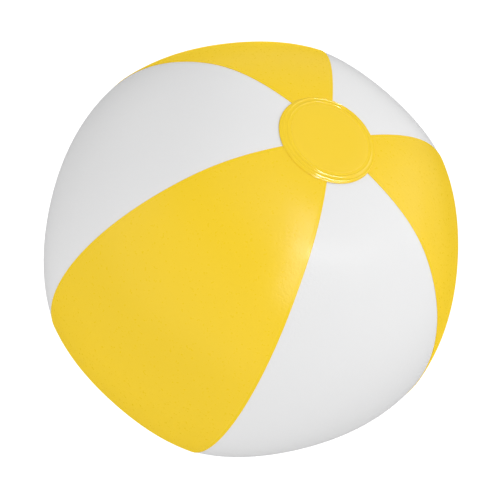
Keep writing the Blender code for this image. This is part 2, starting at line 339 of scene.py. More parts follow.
# %% Pressed ring around the valve
HOLE_RADIUS = 0.0096
FLANGE_WELD_RADII = (0.0108, 0.0140)
FLANGE_WELD_DEPTH = 0.0001
FLANGE_BEAD_HEIGHT = 0.00016


def flange_weld_mark(radius):
    """1 on the pressed ring around the valve and 0 elsewhere."""
    low, high = FLANGE_WELD_RADII
    return smoothstep(low, low + WELD_FADE, radius) * (1 - smoothstep(high - WELD_FADE, high, radius))


def flange_relief(radius):
    """Film height around the valve: a pressed ring between two beads, and a rounded edge at the hole."""
    low, high = FLANGE_WELD_RADII
    beads = bump(radius, low - BEAD_HALF_WIDTH / 2, BEAD_HALF_WIDTH)
    beads = beads + bump(radius, high + BEAD_HALF_WIDTH / 2, BEAD_HALF_WIDTH)
    edge = 1 - smoothstep(HOLE_RADIUS, HOLE_RADIUS + CUT_EDGE_ROUNDING, radius)
    pressed = FLANGE_WELD_DEPTH * flange_weld_mark(radius)
    return FLANGE_BEAD_HEIGHT * beads - pressed - CUT_EDGE_ROUNDING * edge


print("pressed ring from", FLANGE_WELD_RADII[0], "to", FLANGE_WELD_RADII[1], "m")

# %% White gore with the valve's hole
WINDOW_HALF = 0.0215
ROUND_NET_RADIUS = 0.0168
NET_CORNER_RINGS = 8
NET_ROUND_RINGS = 34
SKIN_SEARCH_STEPS = 12


def skin_behind(x, z, rise):
    """Skin points of the +Y gore at given x and z: guess u and azimuth, then correct both until they fit."""
    reach = math.acos(TIP_RADIUS / MIDDLE_RADIUS)
    u = np.arcsin(z / MIDDLE_HALF_HEIGHT) / reach
    azimuth = np.arccos(x / MIDDLE_RADIUS)
    for _ in range(SKIN_SEARCH_STEPS):
        found = ball_skin(u, azimuth, rise)
        u = u + (z - found[..., 2]) / (MIDDLE_HALF_HEIGHT * reach)
        azimuth = azimuth - (x - found[..., 0]) / MIDDLE_RADIUS
    return ball_skin(u, azimuth, rise)


def window_of(grid):
    """Numbers of the grid points in the window, rows by columns, and those of its border in order."""
    rows = np.flatnonzero(np.abs(grid[:, grid.shape[1] // 2, 2]) < WINDOW_HALF)
    columns = np.flatnonzero(np.abs(grid[grid.shape[0] // 2, :, 0]) < WINDOW_HALF)
    number = np.arange(grid.shape[0] * grid.shape[1]).reshape(grid.shape[:2])
    box = number[rows[0]:rows[-1] + 1, columns[0]:columns[-1] + 1]
    border = np.concatenate([box[0, :-1], box[:-1, -1], box[-1, :0:-1], box[:0:-1, 0]])
    return box, border


def valve_net(border_points):
    """Points of the rings from the window's border to the hole, rings by points, and each point's radius."""
    x, z = border_points[:, 0], border_points[:, 2]
    angle = np.arctan2(z, x)
    circle = np.stack([np.cos(angle), np.sin(angle)], axis=-1)
    share = np.linspace(0.0, 1.0, NET_CORNER_RINGS + 1)[1:, None, None]
    square = np.stack([x, z], axis=-1)
    turning = square * (1 - share) + circle * ROUND_NET_RADIUS * share
    radii = np.linspace(ROUND_NET_RADIUS, HOLE_RADIUS, NET_ROUND_RINGS + 1)[1:, None, None]
    flat = np.concatenate([turning, circle * radii])
    radius = np.linalg.norm(flat, axis=-1)
    return skin_behind(flat[..., 0], flat[..., 1], WHITE_LEVEL + flange_relief(radius)), radius


def ring_faces(number):
    """Quads between rings of point numbers, rings by points. Each ring closes on itself."""
    after = np.roll(number, -1, axis=1)
    return np.stack([number[:-1], after[:-1], after[1:], number[1:]], axis=-1).reshape(-1, 4)


def valve_gore():
    """Points, faces and weld marks of the gore with the hole."""
    grid = white_gore_grid(1)
    box, border = window_of(grid)
    flat_grid = grid.reshape(-1, 3)
    net, radius = valve_net(flat_grid[border])
    net_numbers = len(flat_grid) + np.arange(radius.size).reshape(radius.shape)
    faces = grid_faces(*grid.shape[:2])
    inside = np.isin(faces, box).all(axis=1)
    faces = np.concatenate([faces[~inside], ring_faces(np.vstack([border, net_numbers]))])
    points = np.concatenate([flat_grid, net.reshape(-1, 3)])
    weld = np.concatenate([np.zeros(len(flat_grid)), flange_weld_mark(radius).ravel()])
    used, renumbered = np.unique(faces, return_inverse=True)
    return points[used], renumbered.reshape(-1, 4), weld[used]


gore_points, gore_faces, gore_weld = valve_gore()
add_white_gore(1, gore_points, [gore_faces], gore_weld)

# %% [markdown]
# A round disc of thicker yellow film closes each pole and covers the tips of all six gores. It is welded
# around its rim by a ring die, which leaves two raised rings and, further in, a faint third one. The middle
# is flat and falls away to the welded band along a parabola, worked out so that it meets the band at the
# band's own slope. The die presses unevenly, so the raised rings are full on two opposite sides and lower
# between them. The upper disc's cut edge lies a little off the axis, so its rim is narrow on one side and
# wide on the other. A Screw modifier could turn one outline round the pole, but a net of rings may differ
# from angle to angle.

# %% Form of an end disc
DISC_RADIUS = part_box("end_disc_top")[1].x
DISC_FLAT_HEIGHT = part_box("end_disc_top")[1].z
DISC_FILM = 0.0004
DISC_GAP = 0.00015
DISC_BAND_RADIUS = 0.0268
SLOPE_STEP = 1e-5


def disc_band(r):
    """Height of the welded band: the film's top along the seams, plus the disc's own film."""
    skin = SEAM_HALF_HEIGHT * np.sqrt(1 - (r / SEAM_RADIUS) ** 2) - pole_flattening(r)
    return skin + DISC_GAP + DISC_FILM


slope_ends = disc_band(DISC_BAND_RADIUS + np.array([-SLOPE_STEP, SLOPE_STEP]))
band_slope = -np.diff(slope_ends)[0] / (2 * SLOPE_STEP)
fall_run = 2 * (DISC_FLAT_HEIGHT - disc_band(DISC_BAND_RADIUS)) / band_slope
flat_radius = DISC_BAND_RADIUS - fall_run
print("disc flat to", round(flat_radius, 4), "m, then falls over", round(fall_run, 4), "m")


def disc_form(r):
    """Upper face without the rings: flat, then a parabola, then the welded band."""
    middle = DISC_FLAT_HEIGHT - band_slope / (2 * fall_run) * np.maximum(0.0, r - flat_radius) ** 2
    return np.where(r < DISC_BAND_RADIUS, middle, disc_band(r))


# %% Rings and rim of an end disc
RINGS = ((0.0304, 0.00038), (0.0277, 0.00039), (0.0246, 0.00005))  # radius and height of each
RING_INNER_WIDTH, RING_OUTER_WIDTH = 0.00073, 0.00112
RING_CREST, RING_WEAK_SHARE = math.radians(305), 0.4
RING_FADE_FROM, RING_FADE_TO = 0.85, 0.50
RIM_ROUNDING = 0.00015
RIM_PRESS, RIM_PRESS_WIDTH = 0.00022, 0.0009


def ring_share(angle):
    """How much of its height a ring has at an angle: all at the crest and opposite it, less between."""
    fade = smoothstep(RING_FADE_TO, RING_FADE_FROM, np.abs(np.cos(angle - RING_CREST)))
    return RING_WEAK_SHARE + (1 - RING_WEAK_SHARE) * fade


def disc_top(r, true_r, angle):
    """Upper face at radius r: the form, raised rings that are steeper on their inner side, and a rim pressed
    thin and rounded. The rim goes by true_r, the radius that the point would have on a disc cut true."""
    rings = sum(height * bump(r, radius, np.where(r < radius, RING_INNER_WIDTH, RING_OUTER_WIDTH))
                for radius, height in RINGS)
    pressed = RIM_PRESS * smoothstep(DISC_RADIUS - RIM_PRESS_WIDTH, DISC_RADIUS - RIM_ROUNDING, true_r)
    past = np.clip((true_r - DISC_RADIUS + RIM_ROUNDING) / RIM_ROUNDING, 0.0, 1.0)
    rounding = RIM_ROUNDING * (1 - np.sqrt(1 - past ** 2))
    return disc_form(r) + rings * ring_share(angle) - pressed - rounding


print("rings at", [radius for radius, height in RINGS], "m")

# %% Net of an end disc
DISC_HUB = 0.0006
PLAIN_RINGS, WORKED_RINGS, RIM_RINGS, UNDER_RINGS = 24, 90, 7, 30
DISC_STEPS = 192
RIM_FROM = 0.0298
RIM_DIP, RIM_DIP_WIDTH = 0.00007, 0.0009
CUT_RADIUS, CUT_OFFSET, CUT_TOWARDS = 0.0318, 0.0016, math.radians(250)


def disc_radii():
    """Radii of a disc cut true: its top's, from the middle out to the rim, and its underside's, back in."""
    worked_from = RINGS[-1][0] - RING_INNER_WIDTH
    plain = np.linspace(DISC_HUB, worked_from, PLAIN_RINGS, endpoint=False)
    worked = np.linspace(worked_from, DISC_RADIUS - RIM_ROUNDING, WORKED_RINGS, endpoint=False)
    rim = DISC_RADIUS - RIM_ROUNDING * (1 - np.sin(np.linspace(0.0, math.pi / 2, RIM_RINGS)))
    top = np.concatenate([plain, worked, rim])
    return top[:, None], np.linspace(DISC_RADIUS, DISC_HUB, UNDER_RINGS)[:, None]


def disc_rings(cut_radius, cut_offset):
    """Rings of points over the top and back below. The cut edge is a circle about a point off the axis by
    cut_offset, and what lies outside RIM_FROM is drawn out or in to meet it."""
    angle = np.linspace(0.0, 2 * math.pi, DISC_STEPS, endpoint=False)
    cut = cut_radius + cut_offset * np.cos(angle - CUT_TOWARDS)
    top, under = disc_radii()
    true_r = np.concatenate([top, under])
    r = np.minimum(true_r, RIM_FROM)
    r = r + np.maximum(0.0, true_r - RIM_FROM) * (cut - RIM_FROM) / (DISC_RADIUS - RIM_FROM)
    height = np.concatenate([disc_top(r[:len(top)], top, angle), disc_form(r[len(top):]) - DISC_FILM])
    height = height - RIM_DIP * smoothstep(DISC_RADIUS - RIM_DIP_WIDTH, DISC_RADIUS, true_r)
    return np.stack([r * np.cos(angle), r * np.sin(angle), height], axis=-1)


print("a disc has", sum(len(radii) for radii in disc_radii()), "rings of", DISC_STEPS, "points")

# %% [markdown]
# Several pieces are skins over rings of points, so one helper joins rings with quads. Where a skin is open
# at its ends, as a disc's is at the axis, a fan of triangles closes each end ring.

# %% End discs
DISC_WELD_FADE = 4 * WELD_FADE


def loft(rings, closed):
    """Points, quads and triangles of a skin over rings. A closed loft joins its last ring to its first; an
    open one is capped at both ends by fans to the middle of the end ring. Faces are turned outwards."""
    count, steps = rings.shape[:2]
    number = np.arange(count * steps).reshape(count, steps)
    points = rings.reshape(-1, 3)
    triangles = np.zeros((0, 3), int)
    if closed:
        number = np.vstack([number, number[:1]])
    else:
        middle = np.full(steps, len(points))
        first = np.stack([middle, np.roll(number[0], -1), number[0]], axis=-1)
        last = np.stack([middle + 1, number[-1], np.roll(number[-1], -1)], axis=-1)
        triangles = np.concatenate([first, last])
        points = np.concatenate([points, rings[0].mean(axis=0)[None], rings[-1].mean(axis=0)[None]])
    quads = ring_faces(number)
    halves = np.concatenate([quads[:, [0, 1, 2]], quads[:, [0, 2, 3]], triangles])
    corner = points[halves]
    volume = np.einsum("ij,ij->i", corner[:, 0], np.cross(corner[:, 1], corner[:, 2])).sum() / 6
    if volume < 0:
        quads = quads[:, ::-1]
        triangles = triangles[:, ::-1]
    return points, [quads, triangles]


def add_disc(name, node, side, cut_radius, cut_offset):
    """A disc at one pole. side is 1 for the upper one and -1 for the lower one."""
    points, faces = loft(disc_rings(cut_radius, cut_offset), closed=False)
    true_r = np.concatenate(disc_radii())[:, 0]
    band_mark = smoothstep(DISC_BAND_RADIUS - DISC_WELD_FADE, DISC_BAND_RADIUS, true_r)
    weld = np.concatenate([np.repeat(band_mark, DISC_STEPS), [0.0, 0.0]])
    if side < 0:
        points = points * [1.0, 1.0, -1.0]
        faces = [array[:, ::-1] for array in faces]
    disc = add_piece(name, points, faces, "yellow_film", node, weld)
    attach(disc, "ball")
    return disc


discs = [
    add_disc("upper_disc", "end_disc_top", 1, CUT_RADIUS, CUT_OFFSET),
    add_disc("lower_disc", "end_disc_bottom", -1, DISC_RADIUS, 0.0),
]

# %% [markdown]
# The valve is one soft moulding: a flange welded behind the film, a thin funnel, and a tube that sinks into
# the ball when it is pushed. All of it is turned about the valve's axis, so it is drawn as outlines in
# millimetres: radius, and depth below the film. A moulding has no sharp corners, and a Bevel modifier could
# round them, but rounding the outline itself is cheaper and keeps the mesh a clean grid.

# %% Tools for the valve
MM = 0.001
VALVE_SUNK = 0.0006
VALVE_FACE = MIDDLE_RADIUS - VALVE_SUNK
VALVE_STEPS = 112
CORNER_STEPS = 5
CORNER_SIDE_SHARE = 0.45
OUTLINE_SPACING = 0.25
FEWEST_POINTS = 8


def rounded(outline, radius, closed):
    """Outline with each corner replaced by a parabola that starts and ends at radius from it, or at a fixed
    share of a side that is too short."""
    outline = np.asarray(outline, float)
    before = np.roll(outline, 1, axis=0) - outline
    after = np.roll(outline, -1, axis=0) - outline
    lengths = [np.linalg.norm(side, axis=1, keepdims=True) for side in (before, after)]
    start = outline + before * np.minimum(radius / lengths[0], CORNER_SIDE_SHARE)
    end = outline + after * np.minimum(radius / lengths[1], CORNER_SIDE_SHARE)
    t = np.linspace(0.0, 1.0, CORNER_STEPS)[None, :, None]
    arcs = (1 - t) ** 2 * start[:, None] + 2 * t * (1 - t) * outline[:, None] + t ** 2 * end[:, None]
    if closed:
        return arcs.reshape(-1, 2)
    return np.concatenate([outline[:1], arcs[1:-1].reshape(-1, 2), outline[-1:]])


def even(outline, closed, spacing=OUTLINE_SPACING):
    """The same outline with points at an even spacing along it."""
    if closed:
        outline = np.concatenate([outline, outline[:1]])
    run = np.concatenate([[0.0], np.cumsum(np.linalg.norm(np.diff(outline, axis=0), axis=1))])
    places = np.linspace(0.0, run[-1], max(FEWEST_POINTS, int(run[-1] / spacing)))
    if closed:
        places = places[:-1]
    return np.stack([np.interp(places, run, outline[:, i]) for i in (0, 1)], axis=-1)


def turned(outline, steps, bulge=0.0, bulge_share=0.0):
    """Rings about +Z from an outline of (radius, height) rows. Each ring may bulge by an amount that depends
    on the angle, times its own share."""
    angle = np.linspace(0.0, 2 * math.pi, steps, endpoint=False)
    radius = outline[:, :1] + np.reshape(bulge_share, (-1, 1)) * np.reshape(bulge, (1, -1))
    height = np.broadcast_to(outline[:, 1:2], (len(outline), steps))
    return np.stack([radius * np.cos(angle), radius * np.sin(angle), height], axis=-1)


def on_valve(points):
    """Points about +Z in millimetres, turned to the valve's axis, which is +Y from the film's face."""
    return np.stack([points[..., 0] * MM, VALVE_FACE + points[..., 2] * MM, -points[..., 1] * MM], axis=-1)


def add_moulding(name, node, outline, corner):
    """A closed outline, rounded and turned about the valve's axis."""
    line = even(rounded(outline, corner, closed=True), closed=True)
    points, faces = loft(on_valve(turned(line, VALVE_STEPS)), closed=True)
    return add_piece(name, points, faces, "valve_plastic", node)


print("valve face at y =", round(VALVE_FACE, 4))

# %% [markdown]
# The flange is the ring that the film is welded to. Only its bead shows, in the film's hole. The collar is
# the funnel that hangs from the flange and carries the tube. It is soft, but here it is a plain turned
# moulding, hung on no body, with its place baked into its points.

# %% Flange and collar
DISH_RADIUS = SEAM_RADIUS / MM
FLANGE_BORE, FLANGE_BEAD, FLANGE_EDGE = 8.6, 9.35, 15.0
FLANGE_TOP, FLANGE_THICKNESS, FLANGE_BEAD_TOP = -0.25, 1.45, 0.1
FLANGE_CORNER = 0.3
COLLAR_TOP_RADIUS, COLLAR_FOOT_RADIUS = 8.65, 5.35
COLLAR_TOP, COLLAR_SHOULDER, COLLAR_FOOT = -1.0, -2.2, -13.2
COLLAR_WALL = 0.6
COLLAR_FOOT_WALL = 1.6 * COLLAR_WALL
COLLAR_CORNER = 0.35


def dish(radius):
    """How far the ball's curve has fallen away at a distance from the valve's axis, in millimetres."""
    return DISH_RADIUS - math.sqrt(DISH_RADIUS ** 2 - radius ** 2)


flange = add_moulding("valve_ring", "valve_flange", [
    (FLANGE_BORE, FLANGE_BEAD_TOP),
    (FLANGE_BEAD, FLANGE_BEAD_TOP),
    (FLANGE_BEAD, FLANGE_TOP - dish(FLANGE_BEAD)),
    (FLANGE_EDGE, FLANGE_TOP - dish(FLANGE_EDGE)),
    (FLANGE_EDGE, FLANGE_TOP - FLANGE_THICKNESS - dish(FLANGE_EDGE)),
    (FLANGE_BORE, FLANGE_TOP - FLANGE_THICKNESS - dish(FLANGE_BORE)),
], FLANGE_CORNER)
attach(flange, "ball")

collar = add_moulding("valve_funnel", "valve_collar", [
    (COLLAR_TOP_RADIUS - COLLAR_WALL, COLLAR_TOP),
    (COLLAR_TOP_RADIUS, COLLAR_TOP),
    (COLLAR_TOP_RADIUS, COLLAR_SHOULDER),
    (COLLAR_FOOT_RADIUS + COLLAR_FOOT_WALL, COLLAR_FOOT),
    (COLLAR_FOOT_RADIUS, COLLAR_FOOT),
    (COLLAR_FOOT_RADIUS, COLLAR_FOOT + COLLAR_WALL),
    (COLLAR_TOP_RADIUS - COLLAR_WALL, COLLAR_SHOULDER),
], COLLAR_CORNER)
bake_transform(collar)

# %% [markdown]
# The stem is the tube that is blown into, with a lip for the mouth and a foot where the collar is moulded
# on. The plug is a stopper with a domed head and a finger tab. The tab isn't round, so the head's rings
# bulge on one side: the bulge is a smooth window in the angle, and only the rings at the tab's height take
# it.

# %% Stem
STEM_MOUTH, STEM_END = -2.1, -15.0
STEM_LIP_BOTTOM, STEM_FOOT_TOP, STEM_FOOT_BOTTOM = -3.3, -12.4, -13.6
STEM_RADIUS, STEM_BORE, STEM_LIP, STEM_FOOT = 4.5, 3.1, 5.0, 5.4
STEM_CORNER = 0.35

stem = add_moulding("valve_tube", "valve_stem", [
    (STEM_BORE, STEM_MOUTH),
    (STEM_LIP, STEM_MOUTH),
    (STEM_LIP, STEM_LIP_BOTTOM),
    (STEM_RADIUS, STEM_LIP_BOTTOM),
    (STEM_RADIUS, STEM_FOOT_TOP),
    (STEM_FOOT, STEM_FOOT_TOP),
    (STEM_FOOT, STEM_FOOT_BOTTOM),
    (STEM_RADIUS, STEM_FOOT_BOTTOM),
    (STEM_RADIUS, STEM_END),
    (STEM_BORE, STEM_END),
], STEM_CORNER)
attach(stem, "stem")

# %% Plug
NEAR_AXIS = 0.05
PLUG_HEAD_TOP, PLUG_HEAD_BOTTOM, PLUG_TAPER_START, PLUG_TIP = -0.2, -1.8, -6.5, -8.5
PLUG_HEAD, PLUG_SHANK, PLUG_TIP_RADIUS = 5.0, 2.75, 2.2
PLUG_HEAD_FALL = 0.15
PLUG_DIMPLE_RADIUS, PLUG_DIMPLE_EDGE, PLUG_DIMPLE = 2.6, 0.5, 0.35
PLUG_CORNER = 0.35
PLUG_STEPS = 2 * VALVE_STEPS
TAB_REACH, TAB_TOP, TAB_BOTTOM = 7.2, -0.6, -1.5
TAB_INNER_ANGLE, TAB_OUTER_ANGLE = math.radians(14), math.radians(23)
TAB_EDGE = 0.12
TAB_ROWS = 24
FLANK_FROM = PLUG_HEAD - 0.1


def plug_outline():
    """(radius, depth) rows from the head's middle to the tip's middle, and each row's share of the tab."""
    line = even(rounded([
        (NEAR_AXIS, PLUG_HEAD_TOP - PLUG_DIMPLE),
        (PLUG_DIMPLE_RADIUS, PLUG_HEAD_TOP - PLUG_DIMPLE),
        (PLUG_DIMPLE_RADIUS + PLUG_DIMPLE_EDGE, PLUG_HEAD_TOP),
        (PLUG_HEAD, PLUG_HEAD_TOP - PLUG_HEAD_FALL),
        (PLUG_HEAD, PLUG_HEAD_BOTTOM),
        (PLUG_SHANK, PLUG_HEAD_BOTTOM),
        (PLUG_SHANK, PLUG_TAPER_START),
        (PLUG_TIP_RADIUS, PLUG_TIP),
        (NEAR_AXIS, PLUG_TIP),
    ], PLUG_CORNER, closed=False), closed=False)
    flank = np.flatnonzero(line[:, 0] > FLANK_FROM)
    depth = np.linspace(TAB_TOP + TAB_EDGE, TAB_BOTTOM - TAB_EDGE, TAB_ROWS)
    flank_rows = np.stack([np.full(TAB_ROWS, PLUG_HEAD), depth], axis=-1)
    line = np.concatenate([line[:flank[0] + 1], flank_rows, line[flank[-1]:]])
    share = smoothstep(TAB_BOTTOM - TAB_EDGE, TAB_BOTTOM + TAB_EDGE, line[:, 1])
    share = share * (1 - smoothstep(TAB_TOP - TAB_EDGE, TAB_TOP + TAB_EDGE, line[:, 1]))
    return line, share * (line[:, 0] > FLANK_FROM)


plug_line, tab_share = plug_outline()
plug_turn = np.linspace(0.0, 2 * math.pi, PLUG_STEPS, endpoint=False)
side_angle = np.abs((plug_turn + math.pi) % (2 * math.pi) - math.pi)
tab_bulge = (TAB_REACH - PLUG_HEAD) * (1 - smoothstep(TAB_INNER_ANGLE, TAB_OUTER_ANGLE, side_angle))
plug_rings = turned(plug_line, PLUG_STEPS, tab_bulge, tab_share)
plug_points, plug_faces = loft(on_valve(plug_rings), closed=False)
plug = add_piece("valve_stopper", plug_points, plug_faces, "valve_plastic", "valve_plug")
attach(plug, "plug")

# %% [markdown]
# A thin strap ties the plug to the stem, so that it can't be lost. It lies round the tube, rising from the
# lip to the head, and both its ends run into what they are moulded on. The strap is a rounded section carried
# along that path. It is hung on no body, and its place is baked into its points.

# %% Strap
STRAP_START, STRAP_END = math.radians(110), math.radians(260)
STRAP_RADIUS, STRAP_END_RADIUS = 5.85, 4.8
STRAP_ROOT_DEPTH, STRAP_HEAD_DEPTH = -2.8, -1.2
STRAP_HALF_WIDTH, STRAP_HALF_THICKNESS = 0.6, 0.45
STRAP_LUG = 0.16
STRAP_POINTS, STRAP_SIDES = 90, 20


def unit(vectors):
    """Each vector divided by its length."""
    return vectors / np.linalg.norm(vectors, axis=1, keepdims=True)


along = np.linspace(0.0, 1.0, STRAP_POINTS)
strap_angle = STRAP_START + (STRAP_END - STRAP_START) * along
lug_share = smoothstep(0.0, STRAP_LUG, along) * smoothstep(0.0, STRAP_LUG, 1 - along)
strap_r = STRAP_END_RADIUS + (STRAP_RADIUS - STRAP_END_RADIUS) * lug_share
strap_depth = STRAP_ROOT_DEPTH + (STRAP_HEAD_DEPTH - STRAP_ROOT_DEPTH) * smoothstep(0.0, 1.0, along)
path = np.stack([strap_r * np.cos(strap_angle), strap_r * np.sin(strap_angle), strap_depth], axis=-1)
ahead = unit(np.gradient(path, axis=0))
sideways = unit(np.cross(ahead, [0.0, 0.0, 1.0]))
upward = np.cross(sideways, ahead)
round_angle = np.linspace(0.0, 2 * math.pi, STRAP_SIDES, endpoint=False)[None, :, None]
section = sideways[:, None] * STRAP_HALF_THICKNESS * np.cos(round_angle)
section = section + upward[:, None] * STRAP_HALF_WIDTH * np.sin(round_angle)
strap_points, strap_faces = loft(on_valve(path[:, None] + section), closed=False)
strap = add_piece("stopper_strap", strap_points, strap_faces, "valve_plastic", "plug_strap")
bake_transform(strap)

# %% [markdown]
# The one-way flap is a small tongue of film that hangs over the tube's inner end. Breath pushes it open,
# and the air in the ball presses it shut on the tube's rim. It is a turned disc with a sunken middle, its
# hinge tab is a bulge of the outer rings, and a groove is pressed across the tab on both faces, where the
# film bends.

# %% Flap
FLAP_TOP, FLAP_BOTTOM, FLAP_SUNK = -15.3, -15.8, 0.12
FLAP_RADIUS, FLAP_SEAT, FLAP_SEAT_HALF = 4.3, 3.0, 0.3
FLAP_CORNER, FLAP_SPACING = 0.2, 0.08
FLAP_TAB_REACH, FLAP_TAB_ANGLE = 5.2, 1.5 * math.pi
FLAP_TAB_INNER, FLAP_TAB_OUTER = math.radians(19), math.radians(31)
FLAP_GROOVE, FLAP_GROOVE_HALF, FLAP_GROOVE_DEPTH = 4.75, 0.35, 0.15
FLAP_FACE_FROM = 0.2

flap_line = even(rounded([
    (NEAR_AXIS, FLAP_TOP - FLAP_SUNK),
    (FLAP_SEAT - FLAP_SEAT_HALF, FLAP_TOP - FLAP_SUNK),
    (FLAP_SEAT + FLAP_SEAT_HALF, FLAP_TOP),
    (FLAP_RADIUS, FLAP_TOP),
    (FLAP_RADIUS, FLAP_BOTTOM),
    (NEAR_AXIS, FLAP_BOTTOM),
], FLAP_CORNER, closed=False), closed=False, spacing=FLAP_SPACING)
flap_turn = np.linspace(0.0, 2 * math.pi, VALVE_STEPS, endpoint=False)
flap_bulge = 1 - smoothstep(FLAP_TAB_INNER, FLAP_TAB_OUTER, np.abs(flap_turn - FLAP_TAB_ANGLE))
flap_share = (FLAP_TAB_REACH - FLAP_RADIUS) * smoothstep(FLAP_SEAT, FLAP_RADIUS, flap_line[:, 0])
flap_rings = turned(flap_line, VALVE_STEPS, flap_bulge, flap_share)
from_middle = flap_rings[..., 2] - (FLAP_TOP + FLAP_BOTTOM) / 2
on_face = np.abs(from_middle) > FLAP_FACE_FROM
groove = FLAP_GROOVE_DEPTH * bump(-flap_rings[..., 1], FLAP_GROOVE, FLAP_GROOVE_HALF)
flap_rings[..., 2] -= groove * np.sign(from_middle) * on_face
flap_points, flap_faces = loft(on_valve(flap_rings), closed=False)
flap = add_piece("one_way_flap", flap_points, flap_faces, "valve_plastic", "check_flap")
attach(flap, "flap")

# %% [markdown]
# The film is soft vinyl, rolled out between warm rollers. It is satin: a fine grain breaks up its
# highlights, its colour is even but not perfectly so, and where a die has pressed it the grain is smoothed
# and the colour even. A thin bloom, as of fine dust in the film's own colour, lightens it where it is seen
# edge on, and the shader's sheen gives that from any side. Noise on Object coordinates stays put when the
# ball is seen from another side. The discs are of the same yellow, but their thicker film has less grain
# and more gloss.

# %% Tools for finishes
def start_finish(name):
    """A new material, its node tree and its Principled shader."""
    material = bpy.data.materials.new(name)
    material.use_nodes = True
    return material, material.node_tree, material.node_tree.nodes["Principled BSDF"]


def add_node(tree, kind, sockets=None, **settings):
    """A node with its settings. A socket takes a plain value, or a link from another node's output."""
    node = tree.nodes.new(kind)
    for name, value in settings.items():
        setattr(node, name, value)
    for name, value in (sockets or {}).items():
        if isinstance(value, bpy.types.NodeSocket):
            tree.links.new(value, node.inputs[name])
        else:
            node.inputs[name].default_value = value
    return node


def add_noise(tree, scale, detail):
    """Noise value at Object coordinates. scale is in repeats for each metre."""
    place = add_node(tree, "ShaderNodeTexCoord").outputs["Object"]
    noise = add_node(tree, "ShaderNodeTexNoise", {"Vector": place, "Scale": scale, "Detail": detail})
    return noise.outputs["Fac"]


def ranged(tree, value, low, high):
    """A 0 to 1 value stretched to another range."""
    node = add_node(tree, "ShaderNodeMapRange", {"Value": value, "To Min": low, "To Max": high})
    return node.outputs["Result"]


def mixed_colour(tree, share, first, second):
    """Colour between two by a share. Either may be a link. Inputs 6 and 7 and output 2 hold colours."""
    node = add_node(tree, "ShaderNodeMix", {"Factor": share}, data_type="RGBA")
    for socket, colour in ((node.inputs[6], first), (node.inputs[7], second)):
        if isinstance(colour, bpy.types.NodeSocket):
            tree.links.new(colour, socket)
        else:
            socket.default_value = (*colour, 1.0)
    return node.outputs[2]


# %% Vinyl film
MOTTLE, GRAIN, RIPPLE = (22.0, 3.0), (560.0, 2.0), (60.0, 2.0)  # scale and detail of each noise
GRAIN_DEPTH, WELD_GRAIN_STRENGTH = 0.00017, 0.06
RIPPLE_DEPTH, RIPPLE_STRENGTH = 0.00008, 0.5
ROUGHNESS_SPREAD = 0.05
BLOOM_ROUGHNESS = 0.55
YELLOWS = ((0.95, 0.646, 0.013), (0.92, 0.628, 0.011), (0.93, 0.636, 0.011))  # light, deep and pressed
WHITES = ((0.81, 0.81, 0.81), (0.79, 0.79, 0.795), (0.79, 0.79, 0.795))


def vinyl_film(name, tones, roughness, weld_smoothing, shine, grain_strength, bloom):
    """Satin film in three tones. Mottle mixes the light and the deep one, and welds take the pressed one and
    are smoother by weld_smoothing. Two bumps, a soft ripple and a fine grain, turn the normal."""
    material, tree, shader = start_finish(name)
    light, deep, pressed = tones
    shader.inputs["Specular IOR Level"].default_value = shine
    shader.inputs["Sheen Weight"].default_value = bloom
    shader.inputs["Sheen Roughness"].default_value = BLOOM_ROUGHNESS
    shader.inputs["Sheen Tint"].default_value = (*light, 1.0)
    weld = add_node(tree, "ShaderNodeAttribute", attribute_name="weld").outputs["Fac"]
    mottle = add_noise(tree, *MOTTLE)
    grain = add_noise(tree, *GRAIN)
    ripple = add_noise(tree, *RIPPLE)
    colour = mixed_colour(tree, mottle, light, deep)
    tree.links.new(mixed_colour(tree, weld, colour, pressed), shader.inputs["Base Color"])
    grained = ranged(tree, grain, roughness - ROUGHNESS_SPREAD, roughness + ROUGHNESS_SPREAD)
    smoothed = {0: weld, 1: -weld_smoothing, 2: grained}
    smoother = add_node(tree, "ShaderNodeMath", smoothed, operation="MULTIPLY_ADD")
    tree.links.new(smoother.outputs["Value"], shader.inputs["Roughness"])
    soft = add_node(tree, "ShaderNodeBump", {
        "Height": ripple, "Strength": RIPPLE_STRENGTH, "Distance": RIPPLE_DEPTH,
    })
    fine = add_node(tree, "ShaderNodeBump", {
        "Height": grain, "Strength": ranged(tree, weld, grain_strength, WELD_GRAIN_STRENGTH),
        "Distance": GRAIN_DEPTH, "Normal": soft.outputs["Normal"],
    })
    tree.links.new(fine.outputs["Normal"], shader.inputs["Normal"])
    return material


finishes = {
    "yellow_film": vinyl_film("yellow_vinyl", YELLOWS, roughness=0.29, weld_smoothing=0.05, shine=0.58,
                              grain_strength=0.6, bloom=1.0),
    "disc_film": vinyl_film("disc_vinyl", YELLOWS, roughness=0.30, weld_smoothing=0.18, shine=0.80,
                            grain_strength=0.1, bloom=0.0),
    "white_film": vinyl_film("white_vinyl", WHITES, roughness=0.33, weld_smoothing=0.05, shine=0.30,
                             grain_strength=0.5, bloom=0.2),
}
print("film finishes:", sorted(finishes))

# %% [markdown]
# The valve is moulded from clearer, harder vinyl, so it looks milky: light goes a little way in and comes
# out again. A small subsurface weight does that without making the piece see-through.

# %% Milky valve plastic
CLOUD, MOULD_SKIN = (260.0, 3.0), (2400.0, 2.0)  # scale and detail of each noise
MILK_TONES = ((0.76, 0.79, 0.82), (0.68, 0.72, 0.76))
MILK_ROUGHNESS = (0.24, 0.36)
MILK_WEIGHT, MILK_DEPTH = 0.25, 0.0012
MOULD_GRAIN_DEPTH, MOULD_GRAIN_STRENGTH = 0.00005, 0.4


